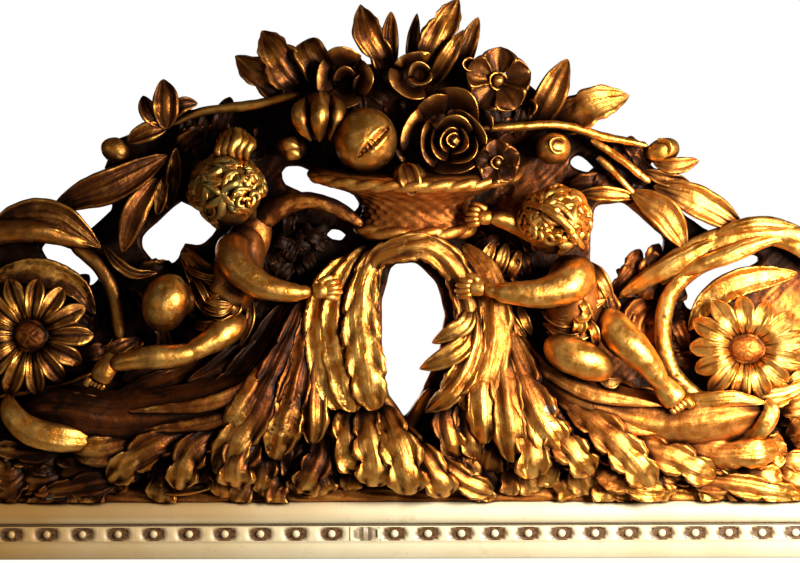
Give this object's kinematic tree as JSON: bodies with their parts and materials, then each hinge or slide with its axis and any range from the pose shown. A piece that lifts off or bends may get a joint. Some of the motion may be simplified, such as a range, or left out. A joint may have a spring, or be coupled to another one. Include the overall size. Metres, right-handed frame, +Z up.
{
  "type": "wall mirror",
  "caption": "Wall mirror in a cream painted moulded frame, with a pierced gilded crest of two putti beside a flower basket over acanthus scrolls.",
  "frame": {"origin": "centre of the back face of the hanging batten, on the wall plane", "axes": "+Z up, the mirror faces -Y, +X to the right as seen from the front; the wall is the plane y = 0"},
  "size_m": [0.94, 0.114, 1.5823],
  "materials": {
    "gilding": "worn gold leaf over red-brown ground, dark in the hollows",
    "cream_paint": "cream paint, aged and rubbed, with a brown wash in the hollows",
    "silvered_glass": "silvered flat glass",
    "board": "bare thin board, darkened",
    "pine": "bare softwood, sawn and planed"
  },
  "bodies": {
    "root": {"crest": "gilding", "top_rail": "cream_paint", "bottom_rail": "cream_paint", "left_stile": "cream_paint", "right_stile": "cream_paint", "mirror_glass": "silvered_glass", "back_board": "board", "hanging_batten": "pine", "spacer_batten": "pine"}
  },
  "joints": []
}
